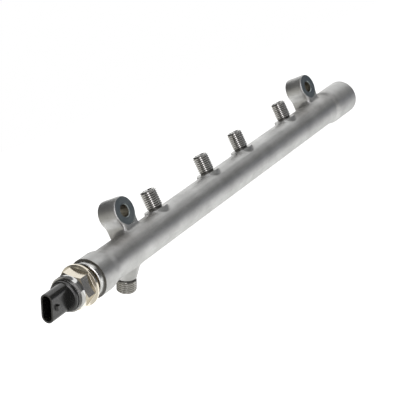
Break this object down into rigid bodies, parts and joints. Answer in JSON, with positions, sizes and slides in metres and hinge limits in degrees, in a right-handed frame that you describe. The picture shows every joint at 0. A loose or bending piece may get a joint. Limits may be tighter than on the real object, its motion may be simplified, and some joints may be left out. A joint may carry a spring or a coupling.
{
  "type": "fuel rail",
  "caption": "Forged steel fuel rail for a diesel engine: a thick tube with threaded pipe stubs, bolt lugs, and a pressure sensor with a plug socket screwed into its end.",
  "frame": {"origin": "midway between the two bolt holes, on the plane of the lugs' back faces", "axes": "+X along the rail towards its closed end, +Y along the bolts towards the bracket, +Z the way the outlets point"},
  "size_m": [0.4324, 0.0351, 0.0641],
  "materials": {
    "forging": "blasted forging with turned stubs",
    "throttle": "turned",
    "port": "bright nickel plating",
    "sleeve": "polished",
    "cell": "ground",
    "ring": "moulded",
    "board": "solder mask",
    "chip": "moulded",
    "contact": "plated",
    "housing": "moulded, fine grain",
    "seal": "plain"
  },
  "bodies": {
    "root": {"rail_body": "forging", "sensor_port": "port", "pressure_cell": "cell", "board_ring": "ring", "sensor_board": "board", "signal_chip": "chip", "connector_housing": "housing", "housing_seal": "seal", "crimp_sleeve": "sleeve", "inlet_throttle": "throttle", "outlet_throttle_1": "throttle", "outlet_throttle_2": "throttle", "outlet_throttle_3": "throttle", "outlet_throttle_4": "throttle", "terminal_1": "contact", "contact_spring_1": "contact", "terminal_2": "contact", "contact_spring_2": "contact", "terminal_3": "contact", "contact_spring_3": "contact"}
  },
  "joints": []
}
